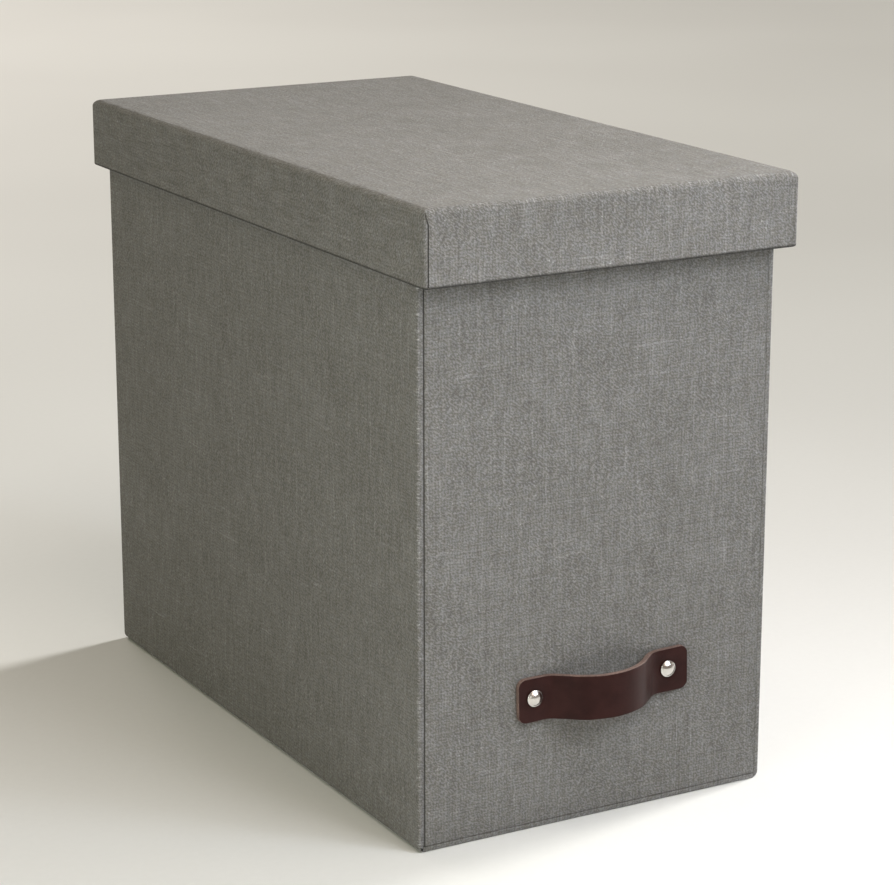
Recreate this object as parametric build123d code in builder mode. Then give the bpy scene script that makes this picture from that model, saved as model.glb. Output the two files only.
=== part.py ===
from build123d import *
import os

os.makedirs("parts", exist_ok=True)

# Archival file box with a lift-off lid: boards covered outside with cloth and lined inside
# with paper, a steel rail on each short wall for hanging folders, and a riveted leather pull.
# X runs across the short side, Y along the long side with the pull at -Y, and Z is up.
# The origin is the centre of the underside. All sizes are in millimetres.

# Outer sizes
body_width = 185.2
body_length = 335.0
lid_width = 192.0
lid_length = 360.0
lid_height = 34.5
total_height = 294.5

# Sheet and board thicknesses
cloth = 0.4
paper = 0.3
wall_board = 2.4
bottom_board_thickness = 2.0
lid_skirt_board = 2.0
lid_top_board_thickness = 2.5

# Edges, seams and gaps
bottom_edge_radius = 3.6
lid_edge_radius = 4.2
lid_corner_radius = 1.2
seam_width = 0.8
lid_clearance = 0.1
end_wall_drop = 20.4
end_turn_in = 15.0
turn_under = 15.0

# File rails and their rivets
rail_sheet = 0.8
rail_outer_leg = 9.0
rail_inner_leg = 12.0
rail_end_gap = 0.6
rail_rivet_radius = 1.5
rail_rivet_head_radius = 2.6
rail_rivet_head = 0.8
rail_rivet_depth = 5.0
rail_rivet_spacing = 65.0
hole_clearance = 0.05

# Leather pull
strap_thickness = 2.6
strap_height = 21.0
strap_length = 91.0
strap_centre_x = 3.0
strap_centre_z = 64.1
strap_corner_radius = 4.0
strap_foot_reach = 27.0
strap_apex = 23.9
strap_foot_bend = 12.5
strap_crown_bend = 27.5

# Rivets of the pull
rivet_spacing = 71.6
rivet_centre_x = 1.6
rivet_z = 65.0
rivet_post_radius = 1.5
rivet_cap_radius = 4.0
rivet_cap_height = 2.3
rivet_socket_depth = 1.0
rivet_foot_radius = 3.8
rivet_foot = 0.6
rivet_washer_radius = 5.5
rivet_washer = 0.5

# Levels and distances that follow from the sizes above
lid_underside = total_height - cloth - lid_top_board_thickness - paper
lid_hem = total_height - lid_height
body_top = lid_underside - lid_clearance
end_top = body_top - end_wall_drop
half_width = body_width / 2
half_length = body_length / 2
inner_half_width = half_width - cloth - wall_board
inner_half_length = half_length - cloth - wall_board
floor_board_top = cloth + bottom_board_thickness
panel_half_width = inner_half_width - seam_width
panel_foot = floor_board_top + seam_width
lid_half_width = lid_width / 2
lid_half_length = lid_length / 2
skirt_half_width = lid_half_width - cloth - lid_skirt_board
skirt_half_length = lid_half_length - cloth - lid_skirt_board
lid_board_underside = lid_underside + paper
rail_top = end_top + rail_sheet
rail_rivet_z = rail_top - rail_rivet_depth
rail_half_length = inner_half_width - cloth - rail_end_gap
rail_inner_skin = inner_half_length - cloth
rail_inner_face = rail_inner_skin - rail_sheet
rail_outer_face = half_length + rail_sheet


def slab(x_limits, y_limits, z_limits, mode=Mode.ADD):
    """A block between two limits on each axis, placed in the part that is being built."""
    low = Vector(x_limits[0], y_limits[0], z_limits[0])
    high = Vector(x_limits[1], y_limits[1], z_limits[1])
    size = high - low
    with Locations((low + high) / 2):
        Box(size.X, size.Y, size.Z, mode=mode)


def outward(side, near, far):
    """The limits of a layer that lies between two distances from the centre, on one side."""
    return sorted((side * near, side * far))


def body_block(inset):
    """The body as one solid block, pulled in by inset, with its two long bottom edges rounded."""
    with BuildPart() as block:
        with BuildSketch(Plane.XY.offset(inset)):
            Rectangle(body_width - 2 * inset, body_length - 2 * inset)
        extrude(amount=body_top - 2 * inset)
        long_bottom_edges = block.edges().filter_by(Axis.Y).group_by(Axis.Z)[0]
        fillet(long_bottom_edges, bottom_edge_radius - inset)
    return block.part


def lid_block(inset):
    """The lid as one solid block, pulled in by inset, with its upright and top edges rounded."""
    with BuildPart() as block:
        with BuildSketch(Plane.XY.offset(lid_hem + inset)):
            Rectangle(lid_width - 2 * inset, lid_length - 2 * inset)
        extrude(amount=lid_height - 2 * inset)
        fillet(block.edges().filter_by(Axis.Z), lid_corner_radius - inset)
        fillet(block.edges().group_by(Axis.Z)[-1], lid_edge_radius - inset)
    return block.part


def cross_drill(radius, x_places, z_place, y_limits):
    """Straight pins along Y, used to drill the holes that rivets pass through."""
    with BuildPart() as drill:
        with BuildSketch(Plane.XZ.offset(-y_limits[0])):
            for x_place in x_places:
                with Locations((x_place, z_place)):
                    Circle(radius)
        extrude(amount=y_limits[0] - y_limits[1])
    return drill.part


def discs(end, x_places, z_place, sections):
    """Round stacks along Y; each section has its near and far distance from the centre and a radius."""
    for near, far, radius in sections:
        with BuildSketch(Plane.XZ.offset(-end * near)) as disc_faces:
            for x_place in x_places:
                with Locations((x_place, z_place)):
                    Circle(radius)
        extrude(disc_faces.sketch, amount=-end * (far - near))


def write(builder, name):
    """Label a finished piece and write it to its own file."""
    builder.part.label = name
    export_step(builder.part, f"parts/{name}.step")


body_outside = body_block(0)
body_boards = body_block(cloth)
lid_outside = lid_block(0)
lid_boards = lid_block(cloth)

# Holes for the rivets
rivet_places = [rivet_centre_x - rivet_spacing / 2, rivet_centre_x + rivet_spacing / 2]
rail_rivet_places = [-rail_rivet_spacing, 0, rail_rivet_spacing]
handle_holes = cross_drill(
    rivet_post_radius + hole_clearance,
    rivet_places,
    rivet_z,
    (-half_length - 2 * strap_thickness, -inner_half_length + 2 * strap_thickness),
)
rail_holes = {
    end: cross_drill(
        rail_rivet_radius + hole_clearance,
        rail_rivet_places,
        rail_rivet_z,
        outward(end, inner_half_length - 2 * wall_board, half_length + 2 * wall_board),
    )
    for end in (-1, 1)
}

# ---- Bottom of the body ----

with BuildPart() as bottom_board:
    slab(
        (-inner_half_width, inner_half_width),
        (-half_length + cloth, half_length - cloth),
        (cloth, floor_board_top),
    )
    add(body_boards, mode=Mode.INTERSECT)
write(bottom_board, "bottom_board")

with BuildPart() as bottom_lining:
    slab(
        (-inner_half_width, inner_half_width),
        (-inner_half_length, inner_half_length),
        (floor_board_top, floor_board_top + paper),
    )
write(bottom_lining, "bottom_lining")

with BuildPart() as bottom_cover:
    slab(
        (turn_under - half_width, half_width - turn_under),
        (-half_length, half_length),
        (0, cloth),
    )
    for end in (-1, 1):
        slab(
            (-inner_half_width, inner_half_width),
            outward(end, half_length - cloth, half_length),
            (0, floor_board_top),
        )
    add(body_outside, mode=Mode.INTERSECT)
write(bottom_cover, "bottom_cover")

# ---- Long sides of the body ----

for side, side_name in ((-1, "left"), (1, "right")):
    with BuildPart() as side_board:
        slab(
            outward(side, inner_half_width, half_width),
            (-half_length + cloth, half_length - cloth),
            (cloth, body_top - cloth),
        )
        add(body_boards, mode=Mode.INTERSECT)
    write(side_board, f"{side_name}_board")

    # The cloth wraps the board as a sleeve, and its foot turns under the bottom board.
    with BuildPart() as side_cover:
        slab(
            outward(side, inner_half_width, half_width),
            (-half_length, half_length),
            (0, body_top),
        )
        slab(
            outward(side, half_width - turn_under, half_width),
            (-half_length + cloth, half_length - cloth),
            (0, floor_board_top),
        )
        add(body_outside, mode=Mode.INTERSECT)
        add(body_boards, mode=Mode.SUBTRACT)
        slab(
            outward(side, inner_half_width - cloth, inner_half_width),
            (-half_length, half_length),
            (rail_top, body_top),
        )
    write(side_cover, f"{side_name}_cover")

    with BuildPart() as side_lining:
        slab(
            outward(side, inner_half_width - paper, inner_half_width),
            (-inner_half_length + paper, inner_half_length - paper),
            (floor_board_top + paper, rail_top),
        )
    write(side_lining, f"{side_name}_lining")

# ---- Short ends of the body ----

for end, end_name in ((-1, "front"), (1, "back")):
    # The board's outer edges are eased, which leaves a seam beside the borders of the corners.
    with BuildPart() as end_board:
        slab(
            (-inner_half_width, inner_half_width),
            outward(end, inner_half_length, half_length - cloth),
            (floor_board_top, end_top - cloth),
        )
        outer_face = end_board.faces().sort_by(Axis.Y)[0 if end < 0 else -1]
        upright_edges = outer_face.edges().filter_by(Axis.Z)
        foot_edge = outer_face.edges().filter_by(Axis.X).sort_by(Axis.Z)[0]
        chamfer([*upright_edges, foot_edge], seam_width)
        add(rail_holes[end], mode=Mode.SUBTRACT)
        if end < 0:
            add(handle_holes, mode=Mode.SUBTRACT)
    write(end_board, f"{end_name}_board")

    with BuildPart() as end_cover:
        slab(
            (-panel_half_width, panel_half_width),
            outward(end, half_length - cloth, half_length),
            (panel_foot, end_top),
        )
        slab(
            (-panel_half_width, panel_half_width),
            outward(end, inner_half_length, half_length),
            (end_top - cloth, end_top),
        )
        slab(
            (-panel_half_width, panel_half_width),
            outward(end, rail_inner_skin, inner_half_length),
            (end_top - end_turn_in, end_top),
        )
        add(rail_holes[end], mode=Mode.SUBTRACT)
        if end < 0:
            add(handle_holes, mode=Mode.SUBTRACT)
    write(end_cover, f"{end_name}_cover")

    with BuildPart() as end_lining:
        slab(
            (-inner_half_width + paper, inner_half_width - paper),
            outward(end, inner_half_length - paper, inner_half_length),
            (floor_board_top + paper, end_top - end_turn_in),
        )
        if end < 0:
            add(handle_holes, mode=Mode.SUBTRACT)
    write(end_lining, f"{end_name}_lining")

    with BuildPart() as file_rail:
        slab(
            (-rail_half_length, rail_half_length),
            outward(end, rail_inner_face, rail_outer_face),
            (rail_top - rail_inner_leg, rail_top),
        )
        slab(
            (-rail_half_length, rail_half_length),
            outward(end, rail_inner_skin, half_length),
            (rail_top - rail_inner_leg, end_top),
            mode=Mode.SUBTRACT,
        )
        slab(
            (-rail_half_length, rail_half_length),
            outward(end, half_length, rail_outer_face),
            (rail_top - rail_inner_leg, rail_top - rail_outer_leg),
            mode=Mode.SUBTRACT,
        )
        add(rail_holes[end], mode=Mode.SUBTRACT)
    write(file_rail, f"{end_name}_file_rail")

    # Flat-headed rivets: an inner head, a shank through the wall and an outer head.
    rail_rivet_sections = (
        (rail_inner_face - rail_rivet_head, rail_inner_face, rail_rivet_head_radius),
        (rail_inner_face, rail_outer_face, rail_rivet_radius),
        (rail_outer_face, rail_outer_face + rail_rivet_head, rail_rivet_head_radius),
    )
    with BuildPart() as rail_rivets:
        discs(end, rail_rivet_places, rail_rivet_z, rail_rivet_sections)
    write(rail_rivets, f"{end_name}_rail_rivets")

# ---- Leather pull on the front end ----

strap_ends = (strap_centre_x - strap_length / 2, strap_centre_x + strap_length / 2)
strap_wall_side = -half_length
strap_feet = (rivet_centre_x - strap_foot_reach, rivet_centre_x + strap_foot_reach)

# The strap lies flat at both ends and bows away from the wall between them.
with BuildPart() as handle_strap:
    with BuildSketch(Plane.XY.offset(strap_centre_z - strap_height / 2)):
        with BuildLine():
            wall_line = FilletPolyline(
                (strap_ends[0], strap_wall_side),
                (strap_feet[0], strap_wall_side),
                (rivet_centre_x, strap_wall_side - strap_apex),
                (strap_feet[1], strap_wall_side),
                (strap_ends[1], strap_wall_side),
                radius=[strap_foot_bend, strap_crown_bend, strap_foot_bend],
            )
            offset(wall_line, amount=strap_thickness, side=Side.RIGHT, closed=True)
        make_face()
    extrude(amount=strap_height)
    fillet(handle_strap.edges().filter_by(Axis.Y), strap_corner_radius)
    add(handle_holes, mode=Mode.SUBTRACT)
write(handle_strap, "handle_strap")

# The rivets hold the strap's ends: a domed cap outside, and a post with a foot and washer inside.
cap_base = half_length + strap_thickness
dome_radius = (rivet_cap_radius**2 + rivet_cap_height**2) / (2 * rivet_cap_height)
socket_end = cap_base + rivet_socket_depth
lining_face = inner_half_length - paper
washer_face = lining_face - rivet_washer

with BuildPart() as handle_rivet_caps:
    for x_place in rivet_places:
        with BuildSketch(Plane.XY.offset(rivet_z)):
            with BuildLine():
                rim = (x_place + rivet_cap_radius, -cap_base)
                crown = (x_place, -cap_base - rivet_cap_height)
                RadiusArc(rim, crown, dome_radius)
                Line(crown, (x_place, -cap_base))
                Line((x_place, -cap_base), rim)
            make_face()
        revolve(axis=Axis((x_place, -cap_base, rivet_z), (0, 1, 0)))
    with BuildSketch(Plane.XZ.offset(cap_base)):
        for x_place in rivet_places:
            with Locations((x_place, rivet_z)):
                Circle(rivet_post_radius)
    extrude(amount=rivet_socket_depth, mode=Mode.SUBTRACT)
write(handle_rivet_caps, "handle_rivet_caps")

post_sections = (
    (washer_face - rivet_foot, washer_face, rivet_foot_radius),
    (washer_face, socket_end, rivet_post_radius),
)
with BuildPart() as handle_rivet_posts:
    discs(-1, rivet_places, rivet_z, post_sections)
write(handle_rivet_posts, "handle_rivet_posts")

with BuildPart() as handle_rivet_washers:
    discs(-1, rivet_places, rivet_z, ((washer_face, lining_face, rivet_washer_radius),))
    add(handle_holes, mode=Mode.SUBTRACT)
write(handle_rivet_washers, "handle_rivet_washers")

# ---- Lid ----

with BuildPart() as lid_top_board:
    slab(
        (-lid_half_width, lid_half_width),
        (-lid_half_length, lid_half_length),
        (lid_board_underside, total_height),
    )
    add(lid_boards, mode=Mode.INTERSECT)
write(lid_top_board, "lid_top_board")

for side, side_name in ((-1, "left"), (1, "right")):
    with BuildPart() as lid_side_board:
        slab(
            outward(side, skirt_half_width, lid_half_width),
            (-lid_half_length, lid_half_length),
            (lid_hem, lid_board_underside),
        )
        add(lid_boards, mode=Mode.INTERSECT)
    write(lid_side_board, f"lid_{side_name}_board")

for end, end_name in ((-1, "front"), (1, "back")):
    with BuildPart() as lid_end_board:
        slab(
            (-skirt_half_width, skirt_half_width),
            outward(end, skirt_half_length, lid_half_length),
            (lid_hem, lid_board_underside),
        )
        add(lid_boards, mode=Mode.INTERSECT)
    write(lid_end_board, f"lid_{end_name}_board")

# One sheet of cloth covers the lid outside, runs round its hem and lines the skirts inside.
with BuildPart() as lid_cover:
    add(lid_outside)
    add(lid_boards, mode=Mode.SUBTRACT)
    slab(
        (-skirt_half_width, skirt_half_width),
        (-skirt_half_length, skirt_half_length),
        (lid_hem, lid_board_underside),
    )
    slab(
        (cloth - skirt_half_width, skirt_half_width - cloth),
        (cloth - skirt_half_length, skirt_half_length - cloth),
        (lid_hem, lid_board_underside),
        mode=Mode.SUBTRACT,
    )
write(lid_cover, "lid_cover")

with BuildPart() as lid_lining:
    slab(
        (cloth - skirt_half_width, skirt_half_width - cloth),
        (cloth - skirt_half_length, skirt_half_length - cloth),
        (lid_underside, lid_board_underside),
    )
write(lid_lining, "lid_lining")
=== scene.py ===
import math

import bmesh
import bpy
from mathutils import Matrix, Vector, noise


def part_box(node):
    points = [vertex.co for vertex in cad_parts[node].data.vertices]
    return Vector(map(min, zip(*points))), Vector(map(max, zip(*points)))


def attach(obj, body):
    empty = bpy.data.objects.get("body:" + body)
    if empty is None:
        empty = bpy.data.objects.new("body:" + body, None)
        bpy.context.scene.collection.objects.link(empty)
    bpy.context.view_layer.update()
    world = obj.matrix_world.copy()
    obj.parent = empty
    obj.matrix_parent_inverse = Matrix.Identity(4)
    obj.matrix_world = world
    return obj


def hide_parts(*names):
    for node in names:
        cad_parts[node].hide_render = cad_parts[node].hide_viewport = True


# Looks of the cloth-covered archival box. Lengths are in metres, in the frame of the CAD model:
# X across the short side, Y along the long side with the leather pull at -Y, and Z up.

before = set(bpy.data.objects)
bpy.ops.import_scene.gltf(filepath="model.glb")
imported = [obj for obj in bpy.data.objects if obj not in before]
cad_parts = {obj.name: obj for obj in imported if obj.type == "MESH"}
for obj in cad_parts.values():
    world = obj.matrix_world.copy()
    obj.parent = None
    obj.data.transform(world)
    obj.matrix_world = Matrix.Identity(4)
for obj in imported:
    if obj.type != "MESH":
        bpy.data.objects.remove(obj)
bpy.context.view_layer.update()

mm = 0.001

# ---- Places that come from the frame ----

side_face, end_face, body_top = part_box("right_cover")[1]
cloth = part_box("bottom_board")[0].z
turn_in_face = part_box("right_lining")[1].x - cloth
wall_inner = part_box("right_board")[0].x
panel_low, panel_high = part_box("back_cover")
panel_board_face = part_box("back_board")[1].y
rail_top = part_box("back_file_rail")[1].z
border_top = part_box("bottom_cover")[1].z
lid_low, lid_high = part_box("lid_cover")
lid_inner_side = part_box("lid_lining")[1].x
lid_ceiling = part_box("lid_lining")[1].z
strap_low, strap_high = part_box("handle_strap")
cap_low, cap_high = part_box("handle_rivet_caps")
cap_radius = 4 * mm

# ---- Sizes that only the looks need ----

bend_steps = 5  # faces round each rounded edge
plain_span = 9 * mm  # longest face on a flat run of cloth
turn_under = 15 * mm
end_turn_in = 15 * mm
bottom_edge_radius = 3.6 * mm
board_edge_radius = 1.1 * mm
corner_radius = 1.0 * mm
lid_edge_radius = 3.4 * mm
lid_corner_radius = 1.2 * mm
hem_radius = 1.1 * mm
painted_hem_shade = 1.6 * mm  # height of the line of painted shade along the hem's foot
slit_top = 2.0 * mm  # a slit ends this far below the lid's top
slit_turn = 6.6 * mm  # and turns to the lid's corner from this far below
slit_end = 0.30 * mm  # where it ends this far from the corner's middle
lap_top = 5 * mm  # the lap under it ends this far below the lid's top
lap_section = [(-0.7 * mm, 0.26 * mm), (0.7 * mm, 0.26 * mm), (0.7 * mm, 0.38 * mm), (-0.7 * mm, 0.38 * mm)]
edge_line = 3.0 * mm  # width of the first faces beside an edge
faint = 1 * mm  # counted on to the distance from an edge that is hardly worn
foot_nick = [
    (wall_inner, 2.55 * mm),
    (wall_inner + 1.5 * mm, 1.25 * mm),
    (wall_inner, 3.7 * mm),
]
foot_lap = 0.38 * mm  # how far the short walls' cloth reaches below its CAD solid
border_lift = 0.25 * mm  # and how far the border rises above its own


# ---- Meshes ----


def new_object(name, faces):
    """An object made of collected faces, linked into the scene."""
    mesh = bpy.data.meshes.new(name)
    faces.to_mesh(mesh)
    faces.free()
    made = bpy.data.objects.new(name, mesh)
    bpy.context.scene.collection.objects.link(made)
    return made


def closed_object(name, faces):
    """The same, with every face of a closed form turned outwards."""
    bmesh.ops.recalc_face_normals(faces, faces=faces.faces)
    return new_object(name, faces)


def bar(faces, sections):
    """A closed bar through four-cornered sections, each a list of points in the same order."""
    rings = [[faces.verts.new(point) for point in section] for section in sections]
    for a, b in zip(rings, rings[1:]):
        for k in range(4):
            faces.faces.new((a[k], a[(k + 1) % 4], b[(k + 1) % 4], b[k]))
    faces.faces.new(rings[0])
    faces.faces.new(rings[-1])


def finish_piece(made, body, replaced, materials):
    """Dresses a piece, rides it on its body, and hides the CAD nodes that it stands for."""
    for material in materials:
        made.data.materials.append(material)
    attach(made, body)
    if replaced:
        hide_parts(*replaced)


def divided(start, end, longest=plain_span):
    """Evenly spaced values from start to end, both included, no further apart than longest."""
    count = max(1, math.ceil(abs(end - start) / longest - 1e-6))
    return [start + (end - start) * k / count for k in range(count + 1)]


def rounded_path(corners, radii):
    """A line with its corners rounded, as (point, left-hand normal, length so far) for each point."""
    points = [Vector(c) for c in corners]
    path = []

    def put(point, normal):
        length = 0.0
        if path:
            length = path[-1][2] + (point - path[-1][0]).length
            if length - path[-1][2] < 1e-7:
                return
        path.append((point, normal, length))

    here = points[0]
    for k in range(1, len(points)):
        along = (points[k] - points[k - 1]).normalized()
        normal = Vector((-along.y, along.x))
        last = k == len(points) - 1
        radius = 0 if last else radii[k - 1]
        run = (points[k] - along * radius - here).length
        for distance in divided(0, run):
            put(here + along * distance, normal)
        if last:
            break
        onward = (points[k + 1] - points[k]).normalized()
        next_normal = Vector((-onward.y, onward.x))
        turn = 1 if along.cross(onward) > 0 else -1
        centre = points[k] - along * radius + normal * radius * turn
        for step in range(1, bend_steps + 1):
            angle = math.pi / 2 * step / bend_steps
            bent = normal * math.cos(angle) + next_normal * math.sin(angle)
            put(centre - bent * radius * turn, bent)
        here = points[k] + onward * radius
    return path


class Skin:
    """Collects the outer faces of a piece of cloth, and where each corner lies on the flat cloth."""

    def __init__(self):
        self.mesh = bmesh.new()
        self.flat = self.mesh.loops.layers.uv.new("weave")
        self.known = {}

    def vertex(self, point):
        key = tuple(round(value / (0.002 * mm)) for value in point)
        if key not in self.known:
            self.known[key] = self.mesh.verts.new(point)
        return self.known[key]

    def face(self, points, places):
        vertices = [self.vertex(p) for p in points]
        kept = [k for k, v in enumerate(vertices) if v is not vertices[k - 1]]
        if len(kept) < 3 or len({vertices[k] for k in kept}) < len(kept):
            return
        made = self.mesh.faces.new([vertices[k] for k in kept])
        made.smooth = True
        for loop, k in zip(made.loops, kept):
            loop[self.flat].uv = places[k]

    def grid(self, rows, place, left_out=lambda row, column: False):
        """Quads between neighbouring rows of points. place gives a point's place for the cell it is in."""
        for r in range(len(rows) - 1):
            for c in range(len(rows[r]) - 1):
                if not left_out(r, c):
                    corners = [(r, c), (r, c + 1), (r + 1, c + 1), (r + 1, c)]
                    self.face([rows[i][j] for i, j in corners], [place(i, j, r, c) for i, j in corners])

    def build(self, name, axis):
        """The finished object. axis is a direction in which the piece's furthest face looks out."""
        bmesh.ops.recalc_face_normals(self.mesh, faces=self.mesh.faces)
        furthest = max(self.mesh.faces, key=lambda f: f.calc_center_median().dot(axis))
        if furthest.normal.dot(axis) < 0:
            bmesh.ops.reverse_faces(self.mesh, faces=self.mesh.faces)
        made = new_object(name, self.mesh)
        thick = made.modifiers.new("thickness", "SOLIDIFY")
        thick.thickness = cloth
        thick.offset = -1
        thick.use_even_offset = True
        return made


def mark_folds(made, along_x=(), along_y=(), along_z=(), painted_shades=()):
    """Stores each vertex's distance, in millimetres, to the nearest fold that runs along each axis."""
    far = 9 * mm
    for name, folds in (("fold_x", along_x), ("fold_y", along_y), ("fold_z", along_z)):
        layer = made.data.attributes.new(name, "FLOAT", "POINT")
        for vertex, value in zip(made.data.vertices, layer.data):
            value.value = min([far, *(fold(vertex.co) for fold in folds)]) / mm
    # And how much painted shade darkens each vertex: the most that any of the painted shades gives
    layer = made.data.attributes.new("painted_shade", "FLOAT", "POINT")
    for vertex, value in zip(made.data.vertices, layer.data):
        value.value = max([0.0, *(painted_shade(vertex.co) for painted_shade in painted_shades)])


# ---- Materials ----


class Nodes:
    """Short ways to add shader nodes to one new material, or to a new world."""

    def __init__(self, name, world=False):
        self.owner = (bpy.data.worlds if world else bpy.data.materials).new(name)
        self.owner.use_nodes = True
        self.tree = self.owner.node_tree

    def add(self, kind, **settings):
        node = self.tree.nodes.new(kind)
        for key, value in settings.items():
            setattr(node, key, value)
        return node

    def put(self, socket, value):
        """Links a value to an input, or sets it there."""
        if isinstance(value, bpy.types.NodeSocket):
            self.tree.links.new(value, socket)
        else:
            socket.default_value = value

    def put_all(self, node, **values):
        """The same for inputs given by their names, with an underscore for a space."""
        for name, value in values.items():
            self.put(node.inputs[name.replace("_", " ")], value)

    def math(self, operation, a, b=0.0, kind="ShaderNodeMath"):
        node = self.add(kind, operation=operation)
        self.put(node.inputs[0], a)
        self.put(node.inputs[1], b)
        return node.outputs[0]

    def vector(self, operation, a, b):
        return self.math(operation, a, b, "ShaderNodeVectorMath")

    def noise(self, vector, scale, detail=2.0, roughness=0.5, output="Fac"):
        node = self.add("ShaderNodeTexNoise", noise_dimensions="3D")
        self.put_all(node, Vector=vector, Scale=scale, Detail=detail, Roughness=roughness)
        return node.outputs[output]

    def product(self, first, *factors):
        for factor in factors:
            first = self.math("MULTIPLY", first, factor)
        return first

    def steps(self, value, low, high, to_low=0.0, to_high=1.0):
        """value from low to high, eased into to_low to to_high."""
        node = self.add("ShaderNodeMapRange", interpolation_type="SMOOTHSTEP")
        self.put_all(node, Value=value, From_Min=low, From_Max=high, To_Min=to_low, To_Max=to_high)
        return node.outputs[0]

    def spread(self, noise, to_low, to_high):
        """A noise, most of whose values lie between 0.3 and 0.7, spread from to_low to to_high."""
        return self.steps(noise, 0.3, 0.7, to_low, to_high)

    def stray(self, place, reach, noise):
        """A place moved about in its plane by the colours of a noise, up to half of reach each way."""
        shift = self.vector("SUBTRACT", noise, (0.5, 0.5, 0.5))
        return self.vector("ADD", place, self.vector("MULTIPLY", shift, (reach, reach, 0.0)))

    def mix(self, factor, a, b):
        node = self.add("ShaderNodeMix", data_type="RGBA")
        self.put_all(node, Factor=factor, A=a, B=b)
        return node.outputs["Result"]

    def shade(self, colour, value):
        """A colour made lighter or darker by a value."""
        grey = self.add("ShaderNodeCombineXYZ")
        self.put_all(grey, X=value, Y=value, Z=value)
        return self.vector("MULTIPLY", colour, grey.outputs[0])

    def apart(self, vector):
        node = self.add("ShaderNodeSeparateXYZ")
        self.put(node.inputs[0], vector)
        return node.outputs[0], node.outputs[1], node.outputs[2]

    def bump(self, height, distance, strength=1.0, under=None):
        node = self.add("ShaderNodeBump")
        self.put_all(node, Strength=strength, Distance=distance, Height=height)
        if under is not None:
            self.put_all(node, Normal=under)
        return node.outputs[0]

    def finish(self, colour, roughness, normal, **constants):
        """The finished material. Each constant is set on the shader's own socket."""
        shader = self.tree.nodes["Principled BSDF"]
        self.put_all(shader, Base_Color=colour, Roughness=roughness, Normal=normal, **constants)
        return self.owner


def object_place(n):
    """Places on a piece, in metres."""
    return n.add("ShaderNodeTexCoord").outputs["Object"]


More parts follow.
